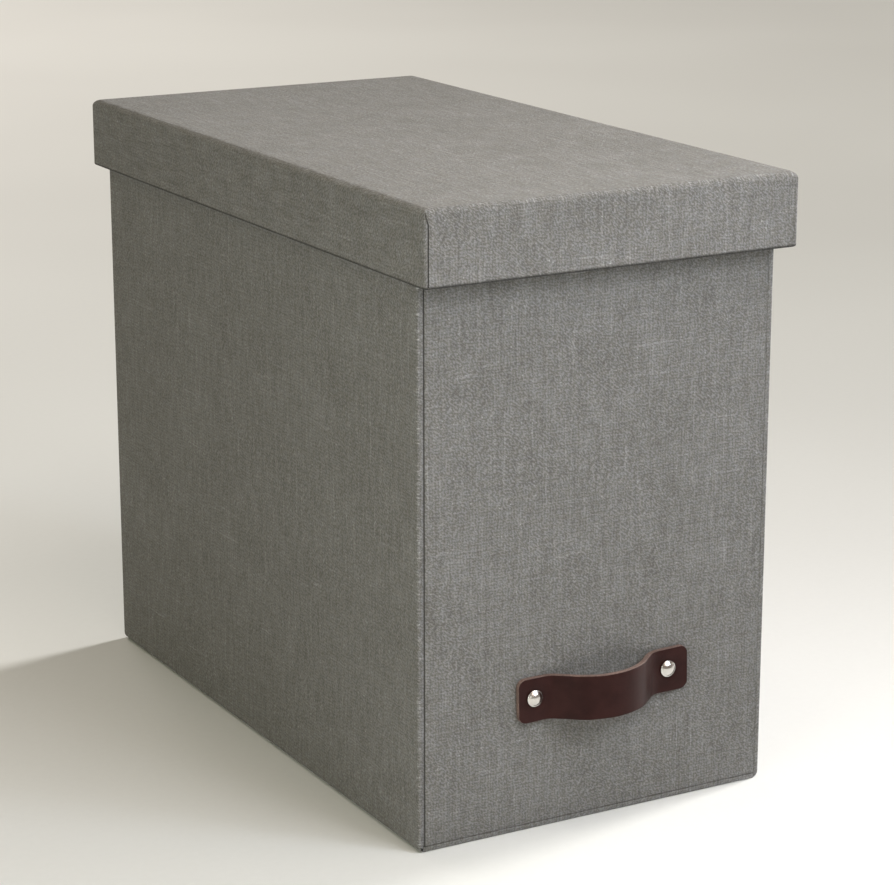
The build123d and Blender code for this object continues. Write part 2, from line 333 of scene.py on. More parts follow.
def cloth_material(name, tone, seed):
    """Woven book cloth. Its threads run along the flat places of the cloth, in the map named weave."""
    n = Nodes(name)
    pitch = 1.42 * mm
    weave = n.add("ShaderNodeUVMap", uv_map="weave").outputs[0]
    flat = n.vector("ADD", weave, (seed, seed * 0.7, seed * 0.3))
    threads = n.vector("MULTIPLY", flat, (1 / pitch, 1 / pitch, 0.0))
    threads = n.stray(threads, 1.8, n.noise(flat, 60, 3.0, 0.6, output="Color"))
    across, along, _ = n.apart(n.stray(threads, 1.25, n.noise(flat, 520, 2.0, output="Color")))
    wave_across = n.math("SINE", n.math("MULTIPLY", across, math.pi))
    wave_along = n.math("SINE", n.math("MULTIPLY", along, math.pi))
    over = n.product(wave_across, wave_along, 0.42)
    warp = n.math("MULTIPLY", n.math("ABSOLUTE", wave_across), n.math("ADD", 0.58, over))
    weft = n.math("MULTIPLY", n.math("ABSOLUTE", wave_along), n.math("SUBTRACT", 0.58, over))
    crossing = n.math("MAXIMUM", warp, weft)

    # The size in the cloth swells the threads into small uneven grains, which lean one way
    lean = n.add("ShaderNodeMapping")
    n.put_all(lean, Vector=flat, Rotation=(0.0, 0.0, math.radians(38)))
    lean = n.vector("MULTIPLY", lean.outputs[0], (0.55, 1.0, 1.0))
    grain = n.steps(n.noise(lean, 1300, 1.2, 0.55), 0.35, 0.70)
    shown = n.steps(n.noise(flat, 26, 2.0), 0.36, 0.62, 0.20, 0.44)
    relief = n.math("MULTIPLY", n.steps(crossing, 0.15, 0.85), shown)
    relief = n.math("ADD", relief, n.math("MULTIPLY", grain, n.math("SUBTRACT", 1.05, shown)))

    # Thick places in single threads, which run a few centimetres before they fade
    warp_slub = n.noise(n.vector("MULTIPLY", threads, (0.85, 0.028, 0.0)), 1.0, 1.0)
    weft_slub = n.noise(n.vector("MULTIPLY", threads, (0.028, 0.85, 0.0)), 1.0, 1.0)
    warp_slub = n.steps(warp_slub, 0.63, 0.78)
    weft_slub = n.steps(weft_slub, 0.66, 0.80)
    slub = n.math("MAXIMUM", warp_slub, weft_slub)
    yarn_tone = n.noise(n.vector("MULTIPLY", threads, (0.6, 0.07, 0.0)), 1.0, 2.0)
    weft_tone = n.noise(n.vector("MULTIPLY", threads, (0.09, 0.6, 3.0)), 1.0, 2.0)
    mottle = n.noise(flat, 620, 2.0, 0.6)
    fibre = n.noise(flat, 1700, 2.0, 0.6)
    speck = n.steps(n.noise(n.vector("ADD", flat, (3.0, 1.0, 0.0)), 900, 0.0), 0.74, 0.82)
    clouds = n.noise(flat, 20, 3.0, 0.55)
    patches = n.noise(n.vector("ADD", flat, (0.0, 5.0, 2.0)), 120, 3.0, 0.6)

    height = relief
    for part, share in ((slub, 0.3), (mottle, 0.7), (fibre, 0.3)):
        height = n.math("ADD", height, n.math("MULTIPLY", part, share))

    # The weave's crowns are lighter and the gaps between the threads darker: partly painted shade in the
    # weave, partly the yarns' own tone
    value = n.product(
        n.steps(relief, 0.10, 0.95, 0.73, 1.24),
        n.spread(mottle, 0.94, 1.06),
        n.steps(yarn_tone, 0.25, 0.75, 0.89, 1.11),
        n.steps(weft_tone, 0.25, 0.75, 0.94, 1.06),
        n.spread(fibre, 0.93, 1.07),
        n.spread(clouds, 0.955, 1.045),
        n.spread(patches, 0.945, 1.055),
        n.math("ADD", 1.0, n.math("MULTIPLY", slub, 0.26)),
        n.math("ADD", 1.0, n.math("MULTIPLY", speck, 0.5)),
    )

    # Fibres raised across the folded edges, their glints painted into the colour as light dashes, where
    # handling has also paled the cloth
    place = object_place(n)
    for axis, squeeze in (("x", (1.0, 0.16, 0.16)), ("y", (0.16, 1.0, 0.16)), ("z", (0.16, 0.16, 1.0))):
        fold = n.add("ShaderNodeAttribute", attribute_name=f"fold_{axis}").outputs["Fac"]
        raised = n.noise(n.vector("MULTIPLY", place, squeeze), 1150, 1.0)
        near = n.steps(fold, 2.6, 0.3)
        painted_fibre_highlight = n.math("MULTIPLY", n.steps(raised, 0.50, 0.70, -0.10, 0.55), near)
        worn = n.math("MULTIPLY", n.steps(fold, 1.6, 0.0), 0.13)
        value = n.product(value, n.math("ADD", 1.0, painted_fibre_highlight), n.math("ADD", 1.0, worn))
        height = n.math("ADD", height, n.product(raised, near, 0.8))
    # Painted shade stored on the mesh: the slits and the hem's foot darkened by up to 80 %
    painted_shade = n.add("ShaderNodeAttribute", attribute_name="painted_shade").outputs["Fac"]
    value = n.math("MULTIPLY", value, n.math("SUBTRACT", 1.0, n.math("MULTIPLY", painted_shade, 0.8)))

    hue = n.noise(flat, 330, 1.0)
    warm = (tone[0] * 1.02, tone[1], tone[2] * 0.965, 1.0)
    cool = (tone[0] * 0.97, tone[1], tone[2] * 1.06, 1.0)
    cooler = n.math("ADD", n.steps(hue, 0.35, 0.65, 0.0, 0.4), n.steps(value, 0.8, 1.2, 0.0, 0.6))
    return n.finish(
        n.shade(n.mix(cooler, warm, cool), value),
        n.spread(fibre, 0.84, 0.97),
        n.bump(height, 0.13 * mm),
        Sheen_Weight=0.06,
        Sheen_Roughness=0.5,
        Specular_IOR_Level=0.25,
    )


def board_material():
    """Grey solid board, pressed from mixed fibres, paler and rougher where it was cut."""
    n = Nodes("solid_board")
    place = object_place(n)
    flecks = n.noise(place, 900, 3.0, 0.65)
    layers = n.noise(n.vector("MULTIPLY", place, (1.0, 1.0, 6.0)), 160, 3.0)
    clouds = n.noise(place, 40, 2.0)
    value = n.product(n.spread(flecks, 0.8, 1.15), n.spread(layers, 0.9, 1.08), n.spread(clouds, 0.94, 1.05))
    colour = n.mix(n.steps(flecks, 0.5, 0.75), (0.17, 0.145, 0.115, 1), (0.24, 0.22, 0.19, 1))
    height = n.math("ADD", flecks, layers)
    return n.finish(n.shade(colour, value), n.spread(layers, 0.85, 0.98), n.bump(height, 0.12 * mm))


def paper_material():
    """Matt off-white lining paper with a few pale and dark fibres and a slight cockle from the glue."""
    n = Nodes("lining_paper")
    place = object_place(n)
    grain = n.noise(place, 1500, 3.0, 0.6)
    fibres = n.noise(n.vector("MULTIPLY", place, (1.0, 0.25, 0.25)), 700, 2.0)
    cockle = n.noise(place, 24, 2.0)
    clouds = n.noise(place, 9, 2.0)
    value = n.product(
        n.spread(grain, 0.95, 1.03), n.spread(clouds, 0.94, 1.03), n.steps(fibres, 0.66, 0.8, 1.0, 0.84)
    )
    colour = n.shade((0.70, 0.685, 0.63), value)
    fine = n.bump(grain, 0.05 * mm)
    return n.finish(colour, n.spread(grain, 0.8, 0.95), n.bump(cockle, 0.9 * mm, 0.5, fine))


def steel_material(name, tone, along, dull):
    """Plated steel with fine rolling lines along one direction, small pits and dull patches."""
    n = Nodes(name)
    place = object_place(n)
    lines = n.noise(n.vector("MULTIPLY", place, along), 900, 3.0, 0.7)
    bloom = n.noise(place, 90, 3.0, 0.6)
    pits = n.noise(place, 2600, 1.0)
    value = n.math("MULTIPLY", n.spread(lines, 0.95, 1.03), n.spread(bloom, 0.93, 1.04))
    patchy = n.spread(bloom, dull - 0.04, dull + 0.06)
    roughness = n.math("ADD", patchy, n.spread(lines, -0.02, 0.03))
    height = n.math("ADD", lines, n.steps(pits, 0.62, 0.75, 0.0, -0.8))
    return n.finish(n.shade(tone, value), roughness, n.bump(height, 0.009 * mm), Metallic=1.0)


def nickel_material():
    """Polished nickel with hairline scratches and slightly duller patches."""
    n = Nodes("polished_nickel")
    place = object_place(n)
    scratches = n.noise(n.vector("MULTIPLY", place, (0.3, 1.0, 2.2)), 1500, 2.0, 0.7)
    bloom = n.noise(place, 450, 2.0)
    colour = n.shade((0.64, 0.615, 0.58), n.spread(bloom, 0.93, 1.03))
    height = n.steps(scratches, 0.55, 0.75)
    return n.finish(colour, n.spread(bloom, 0.16, 0.26), n.bump(height, 0.006 * mm), Metallic=1.0)


def leather_material():
    """Smooth dark brown leather with a fine grain, creased a little where it bends."""
    n = Nodes("dark_leather")
    place = n.add("ShaderNodeUVMap", uv_map="weave").outputs[0]
    grain = n.add("ShaderNodeTexVoronoi", feature="DISTANCE_TO_EDGE")
    shift = n.vector("MULTIPLY", n.noise(place, 900, 2.0, output="Color"), (0.4 * mm, 0.4 * mm, 0.0))
    n.put_all(grain, Vector=n.vector("ADD", place, shift), Scale=1700)
    cells = n.steps(grain.outputs["Distance"], 0.0, 0.35)
    clouds = n.noise(place, 70, 3.0, 0.6)
    pores = n.noise(place, 3200, 1.0)
    creases = n.noise(n.vector("MULTIPLY", place, (1.0, 0.12, 1.0)), 420, 3.0, 0.6)
    value = n.math("MULTIPLY", n.spread(clouds, 0.90, 1.12), n.steps(cells, 0.0, 1.0, 0.90, 1.02))
    base = n.mix(n.steps(clouds, 0.35, 0.65), (0.0245, 0.0070, 0.0059, 1), (0.0294, 0.0094, 0.0081, 1))
    roughness = n.math("ADD", n.spread(clouds, 0.36, 0.46), n.steps(pores, 0.4, 0.6, -0.03, 0.03))
    height = n.math("ADD", n.math("MULTIPLY", cells, 0.6), n.math("MULTIPLY", creases, 1.2))
    colour = n.shade(base, value)
    return n.finish(colour, roughness, n.bump(height, 0.035 * mm), Specular_IOR_Level=0.115)


def raw_leather_material():
    """The cut edge and the flesh side of the leather: paler, fibrous and matt."""
    n = Nodes("raw_leather")
    place = object_place(n)
    fibres = n.noise(place, 1300, 3.0, 0.7)
    clouds = n.noise(place, 140, 2.0)
    value = n.math("MULTIPLY", n.spread(fibres, 0.72, 1.2), n.spread(clouds, 0.85, 1.12))
    colour = n.mix(n.steps(fibres, 0.45, 0.7), (0.155, 0.098, 0.082, 1), (0.19, 0.13, 0.112, 1))
    return n.finish(n.shade(colour, value), n.spread(fibres, 0.75, 0.95), n.bump(fibres, 0.12 * mm))


def painted_seam_shade_material():
    """Cloth where it laps under a seam, coloured near-black and streaked: painted shade for the shadow
    inside the seam.
    """
    n = Nodes("painted_seam_shade")
    place = object_place(n)
    streaks = n.noise(n.vector("MULTIPLY", place, (1.0, 1.0, 0.2)), 1600, 3.0, 0.6)
    colour = n.mix(n.steps(streaks, 0.3, 0.7), (0.020, 0.018, 0.015, 1), (0.040, 0.037, 0.032, 1))
    return n.finish(colour, n.spread(streaks, 0.7, 0.9), n.bump(streaks, 0.05 * mm))


cloth_tone = (0.1685, 0.163, 0.155)
painted_seam_shade = painted_seam_shade_material()
body_cloth = cloth_material("body_cloth", cloth_tone, 0.0)
lid_cloth_material = cloth_material("lid_cloth", cloth_tone, 1.7)
board = board_material()
paper = paper_material()
rail_steel = steel_material("zinc_plated_rail", (0.58, 0.585, 0.59), (0.03, 1.0, 1.0), 0.34)
rivet_steel = steel_material("rivet_steel", (0.56, 0.56, 0.56), (1.0, 1.0, 1.0), 0.3)
nickel = nickel_material()
leather = leather_material()
raw_leather = raw_leather_material()


# ---- Body cloth: a sleeve on each long wall ----


def sleeve(side, side_name):
    """The cloth of one long wall, from inside its top, over the wall and under the bottom board."""
    skin = Skin()
    outline = rounded_path(
        [
            (turn_in_face, rail_top),
            (turn_in_face, body_top),
            (side_face, body_top),
            (side_face, 0),
            (side_face - turn_under, 0),
        ],
        [corner_radius, board_edge_radius, bottom_edge_radius],
    )

    # Rows run along the wall, and at both ends they draw in, which rounds the upright corners
    stations = []
    for step in range(bend_steps):
        angle = math.pi / 2 * step / bend_steps
        inset = corner_radius * (1 - math.sin(angle))
        stations.append((end_face - corner_radius * (1 - math.cos(angle)), inset))
    run = [end_face - corner_radius, end_face - edge_line]
    run += divided(end_face - edge_line, edge_line - end_face)[1:]
    run += [corner_radius - end_face]
    stations += [(y, 0.0) for y in run]
    stations += [(-y, inset) for y, inset in reversed(stations[:bend_steps])]
    rows = []
    for y, inset in stations:
        row = []
        for point, normal, _ in outline:
            moved = point - normal * inset
            row.append(Vector((side * moved.x, y, moved.y)))
        rows.append(row)

    def place(i, j, r, c):
        y, inset = stations[i]
        return (y + math.copysign(inset, y), outline[j][2])

    skin.grid(rows, place)

    # A narrow border of the same cloth lies on each end wall, with a nick at its foot on the left
    rim = [(point - normal * corner_radius, length) for point, normal, length in outline]
    foot = max(k for k, (point, _) in enumerate(rim) if point.x >= wall_inner)
    base = body_top + (side_face - turn_in_face) + (body_top - rail_top)
    inner = [(wall_inner, rim[foot][0].y), *(foot_nick if side < 0 else [])]
    inner += [(wall_inner, z) for z in (*divided(8 * mm, panel_high.z), rail_top)]
    shape = [(point.x, point.y) for point, _ in rim[: foot + 1]] + inner
    for end in (-1, 1):
        points = [Vector((side * x, end * end_face, z)) for x, z in shape]
        places = [(end * (end_face + side_face - x), base - z) for x, z in shape]
        skin.face(points, places)

    made = skin.build(f"{side_name}_cloth", Vector((side, 0, 0)))
    mark_folds(
        made,
        along_y=[lambda p: math.hypot(abs(p.x) - side_face, p.z) + faint],
        along_z=[lambda p: math.hypot(abs(p.x) - side_face, abs(p.y) - end_face)],
    )
    finish_piece(made, "box", [f"{side_name}_cover"], [body_cloth])


sleeve(-1, "left")
sleeve(1, "right")


# ---- Body cloth: panels on the short walls ----


def end_panel(end, end_name):
    """The cloth of one short wall, from its foot over the top and a little way down inside."""
    skin = Skin()
    roll = 0.5 * mm
    outline = rounded_path(
        [
            (end_face - roll, panel_low.z - foot_lap),
            (end_face, panel_low.z - foot_lap),
            (end_face, panel_high.z),
            (panel_low.y, panel_high.z),
            (panel_low.y, panel_high.z - end_turn_in),
        ],
        [roll * 0.9, board_edge_radius, corner_radius],
    )
    # Beside each seam the cloth sinks: (x, depth) from the seam inwards
    open_seam = [
        (panel_high.x + 0.1 * mm, 0.5 * mm),
        (panel_high.x, 0.27 * mm),
        (panel_high.x - 0.15 * mm, 0.1 * mm),
        (panel_high.x - 0.45 * mm, 0.0),
    ]
    tight_seam = [
        (wall_inner - 0.04 * mm, 0.35 * mm),
        (wall_inner - 0.12 * mm, 0.12 * mm),
        (wall_inner - 0.3 * mm, 0.03 * mm),
        (wall_inner - 0.6 * mm, 0.0),
    ]
    right = tight_seam if end < 0 else open_seam
    columns = [(-x, sink) for x, sink in open_seam]
    columns += [(x, 0.0) for x in divided(-open_seam[-1][0], right[-1][0])[1:-1]]
    columns += reversed(right)
    rows = []
    for point, normal, _ in outline:
        row = []
        for x, sink in columns:
            moved = point + normal * sink
            row.append(Vector((x, end * moved.x, moved.y)))
        rows.append(row)

    def place(i, j, r, c):
        return (columns[j][0], outline[i][2])

    skin.grid(rows, place)
    made = skin.build(f"{end_name}_cloth", Vector((0, end, 0)))
    mark_folds(made, along_x=[lambda p: abs(p.z - panel_high.z) + faint])
    finish_piece(made, "box", [f"{end_name}_cover"], [body_cloth])


end_panel(-1, "front")
end_panel(1, "back")


# ---- Body cloth: the bottom sheet, turned up at both ends ----


def bottom_sheet():
    """The sheet under the base. Its two ends show as the low border along the foot of the short walls."""
    skin = Skin()
    roll = 0.35 * mm
    outline = rounded_path(
        [
            (roll - end_face, border_top + border_lift),
            (-end_face, border_top + border_lift),
            (-end_face, 0),
            (end_face, 0),
            (end_face, border_top + border_lift),
            (end_face - roll, border_top + border_lift),
        ],
        [roll * 0.9, 0.9 * mm, 0.9 * mm, roll * 0.9],
    )
    inner = side_face - turn_under
    columns = [-wall_inner, *divided(-inner, inner), wall_inner]
    rows = [[Vector((x, point.x, point.y)) for x in columns] for point, _, _ in outline]

    def place(i, j, r, c):
        return (columns[j], outline[i][2])

    def under_the_sleeves(r, c):
        middle = (outline[r][0] + outline[r + 1][0]) / 2
        return c in (0, len(columns) - 2) and abs(middle.x) < end_face - 0.4 * mm

    skin.grid(rows, place, under_the_sleeves)
    made = skin.build("bottom_cloth", Vector((0, 0, -1)))
    mark_folds(made, along_x=[lambda p: math.hypot(abs(p.y) - end_face, p.z) + faint])
    finish_piece(made, "box", ["bottom_cover"], [body_cloth])


bottom_sheet()


def seam_lines():
    """Near-black cloth at the bottom of the open seams between the side covers and the end panels: painted
    shade in the grooves.
    """
    faces = bmesh.new()
    play = 0.05 * mm
    deep, shallow = panel_board_face - 0.03 * mm, panel_board_face + 0.07 * mm
    near, far = panel_high.x - play, wall_inner + play
    section = ((near, deep), (far, deep), (far, shallow), (near, shallow))
    heights = (border_top + 0.3 * mm, panel_high.z - board_edge_radius)
    for side, end in ((-1, -1), (-1, 1), (1, 1)):
        bar(faces, [[(side * x, end * y, z) for x, y in section] for z in heights])
    made = closed_object("body_seam_lines", faces)
    finish_piece(made, "box", [], [painted_seam_shade])


seam_lines()


# ---- Lid cloth ----


def lid_sheet():
    """One sheet over the lid, down its skirts, round the hem and up inside, with a slit at each corner."""
    skin = Skin()
    half_x, half_y = lid_high.x, lid_high.y
    skirt = half_x - lid_inner_side
    outline = rounded_path(
        [
            (-lid_edge_radius, lid_high.z),
            (0, lid_high.z),
            (0, lid_high.z - slit_turn),
            (0, lid_low.z + painted_hem_shade),
            (0, lid_low.z),
            (-skirt, lid_low.z),
            (-skirt, lid_ceiling),
        ],
        [lid_edge_radius, 0, 0, hem_radius, hem_radius],
    )
    arc = math.pi / 4 * lid_corner_radius
    corner_steps = 3

    def ring_radius(out, inside):
        """The rounding of the upright corner: softer towards the top, nearly sharp inside."""
        if inside:
            return 0.45 * mm
        return lid_corner_radius + max(0.0, -out) * 0.45

    # The edges of a slit lie at these distances from the corner's middle; the front right one is tight
    wide, tight = (1.45 * mm, 1.89 * mm), (1.63 * mm, 1.73 * mm)
    fade = 0.16 * mm
    outer = edge_line + 1 * mm  # beyond this the columns are evenly spaced
    side_lengths = (2 * half_x, 2 * half_y, 2 * half_x, 2 * half_y)
    starts = ((-1, -1), (1, -1), (1, 1), (-1, 1))
    directions = ((1, 0), (0, 1), (-1, 0), (0, -1))
    slits = {(0, 0): wide, (0, 1): tight, (2, 0): wide, (2, 1): wide}

    def faded(edges):
        if edges is None:
            return (1.5 * mm,)
        return (edges[0] - fade, *edges, edges[1] + fade)

    # Near a corner a column is (side, which of its corners, distance), elsewhere (side, None, share of it)
    columns = []
    for side in range(4):
        length = side_lengths[side] - 2 * lid_corner_radius + 2 * arc
        near = [arc * k / corner_steps for k in range(corner_steps)]
        begin = near + [arc, *faded(slits.get((side, 0))), outer]
        stop = near[1:] + [arc, *faded(slits.get((side, 1))), outer]
        middle = divided(begin[-1], length - stop[-1])[1:-1]
        columns += [(side, 0, t) for t in begin]
        columns += [(side, None, t / length) for t in middle]
        columns += [(side, 1, t) for t in reversed(stop)]
    columns.append((0, 0, 0.0))

    def slit_at(z, edges):
        """The two edges of a slit at a height: it turns to the lid's corner as it climbs."""
        rise = min(1.0, max(0.0, (z - (lid_high.z - slit_turn)) / (slit_turn - slit_top)))
        rise = rise * rise * (3 - 2 * rise)
        target = sum(edges) / 2 * (1 - rise) + slit_end * rise
        gap = (edges[1] - edges[0]) * (1 - 0.4 * rise)
        return target - gap / 2, target + gap / 2

    def slit_shift(z, t, edges):
        """Moves the columns beside a slit along with it."""
        low, high = slit_at(z, edges)
        knots = [(0.0, 0.0), (edges[0] - fade, max(low - fade, low * 0.5)), (edges[0], low)]
        knots += [(edges[1], high), (edges[1] + fade, high + fade), (outer, outer)]
        for (a, to_a), (b, to_b) in zip(knots, knots[1:]):
            if a <= t <= b:
                return to_a + (to_b - to_a) * (t - a) / (b - a)
        return t

    def ring_point(column, out, z, inside):
        side, nearest, t = column
        radius = ring_radius(out, inside)
        size_x, size_y = half_x + out, half_y + out
        at, way = starts[side], directions[side]
        straight = (2 * size_x if way[0] else 2 * size_y) - 2 * radius
        if nearest is not None:
            edges = slits.get((side, nearest))
            if edges and not inside:
                t = slit_shift(z, t, edges)
            if t <= arc:
                angle = math.pi / 4 * t / arc
                if nearest == 0:
                    turn = math.radians(225) + angle + math.pi / 2 * side
                else:
                    turn = math.radians(315) - angle + math.pi / 2 * side
                corner = at if nearest == 0 else starts[(side + 1) % 4]
                x = corner[0] * (size_x - radius) + radius * math.cos(turn)
                y = corner[1] * (size_y - radius) + radius * math.sin(turn)
                return Vector((x, y, z))
            distance = t - arc if nearest == 0 else straight - (t - arc)
        else:
            flat_length = side_lengths[side] - 2 * lid_corner_radius
            distance = ((t * (flat_length + 2 * arc)) - arc) / flat_length * straight
        x = at[0] * size_x if not way[0] else at[0] * (size_x - radius) + way[0] * distance
        y = at[1] * size_y if not way[1] else at[1] * (size_y - radius) + way[1] * distance
        return Vector((x, y, z))

    rows = []
    insides = []
    for point, _, length in outline:
        inside = length > (lid_high.z - lid_low.z) and point.x < -skirt / 2
        insides.append(inside)
        rows.append([ring_point(column, point.x, point.y, inside) for column in columns])

    def key(point):
        return tuple(round(value / (0.01 * mm)) for value in point)

    painted_slit_shade = {}  # how much painted shade darkens each vertex beside a slit
    for row, inside in zip(rows, insides):
        for column, p in zip(columns, row):
            edges = slits.get(column[:2])
            if edges and not inside and p.z < lid_high.z - slit_top:
                if min(abs(column[2] - e) for e in edges) < 1e-7:
                    painted_slit_shade[key(p)] = 0.35 if edges == tight else 1.0

    def flap(c):
        """The flap that a cell belongs to: the long flaps wrap round the corners as far as the slits."""
        side, nearest, t = columns[c]
        if side in (0, 2) and nearest == 0 and t < wide[0]:
            return 3 if side == 0 else 1
        if side in (0, 2) and nearest == columns[c + 1][1] == 1 and t <= wide[0]:
            return 1 if side == 0 else 3
        return side

    def place(i, j, r, c):
        point = rows[i][j]
        out, length = outline[i][0].x, outline[i][2]
        which = flap(c)
        if which in (1, 3):
            beyond = half_x + out - abs(point.x)
            sign = 1 if which == 1 else -1
            return (sign * (half_x - lid_edge_radius + length), point.y + math.copysign(beyond, point.y))
        beyond = half_y + out - abs(point.y)
        sign = 1 if which == 2 else -1
        return (point.x + math.copysign(beyond, point.x), sign * (half_y - lid_edge_radius + length))

    def in_a_slit(r, c):
        side, nearest, t = columns[c]
        edges = slits.get((side, nearest)) if nearest is not None else None
        if edges is None or columns[c + 1][1] != nearest or insides[r + 1]:
            return False
        low, high = sorted((t, columns[c + 1][2]))
        between = abs(low - edges[0]) < 1e-7 and abs(high - edges[1]) < 1e-7
        return between and rows[r + 1][c].z < lid_high.z - slit_top

    skin.grid(rows, place, in_a_slit)

    # The flat top: one narrow ring inside the rounded edge, and one face in the middle
    tops = []
    for inset in (lid_edge_radius, lid_edge_radius + edge_line):
        tops.append([ring_point(column, -inset, lid_high.z, False) for column in columns])
    skin.grid(tops, lambda i, j, r, c: (tops[i][j].x, tops[i][j].y))
    middle = [p for p, q in zip(tops[-1], tops[-1][1:]) if (p - q).length > 0.004 * mm]
    skin.face(middle, [(p.x, p.y) for p in middle])

    made = skin.build("lid_cloth", Vector((0, 0, 1)))
    mark_folds(
        made,
        along_x=[
            lambda p: math.hypot(abs(p.y) - half_y, p.z - lid_high.z) * 0.7,
            lambda p: math.hypot(abs(p.y) - half_y, p.z - lid_low.z) + faint,
        ],
        along_y=[
            lambda p: math.hypot(abs(p.x) - half_x, p.z - lid_high.z) + faint,
            lambda p: math.hypot(abs(p.x) - half_x, p.z - lid_low.z) + faint,
        ],
        along_z=[lambda p: math.hypot(abs(p.x) - half_x, abs(p.y) - half_y) + 0.6 * mm],
        # Painted shade: the slits darkened, and a dark line painted along the hem's foot where the lid's
        # shadow falls
        painted_shades=[
            lambda p: painted_slit_shade.get(key(p), 0.0),
            lambda p: max(0.0, min(1.0, (painted_hem_shade - (p.z - lid_low.z)) / (0.9 * mm))),
        ],
    )
    finish_piece(made, "lid", ["lid_cover"], [lid_cloth_material])

    # Under each slit lies the glued lap of the neighbouring flap, coloured near-black: painted shade inside
    # the slit
    laps = bmesh.new()
    for (side, nearest), edges in slits.items():
        sign_x = -1 if (side == 0) == (nearest == 0) else 1
        sign_y = -1 if side == 0 else 1
        sections = []
        for z in divided(lid_low.z + hem_radius, lid_high.z - lap_top, 2 * mm):
            middle = half_x - lid_corner_radius - (sum(slit_at(z, edges)) / 2 - arc)
            section = []
            for across, depth in lap_section:
                section.append((sign_x * (middle + across), sign_y * (half_y - depth), z))
            sections.append(section)
        bar(laps, sections)
    made = closed_object("lid_corner_laps", laps)
    finish_piece(made, "lid", [], [painted_seam_shade])


lid_sheet()


# ---- Leather pull ----

pull_middle = ((cap_low.x + cap_high.x) / 2, (cap_low.z + cap_high.z) / 2)
pull_tilt = math.radians(1.2)


def tilted(point):
    """Turns a point of the pull about its middle: it was riveted by hand, not quite level."""
    x, z = point.x - pull_middle[0], point.z - pull_middle[1]
    cos, sin = math.cos(pull_tilt), math.sin(pull_tilt)
    return Vector((pull_middle[0] + x * cos - z * sin, point.y, pull_middle[1] + x * sin + z * cos))


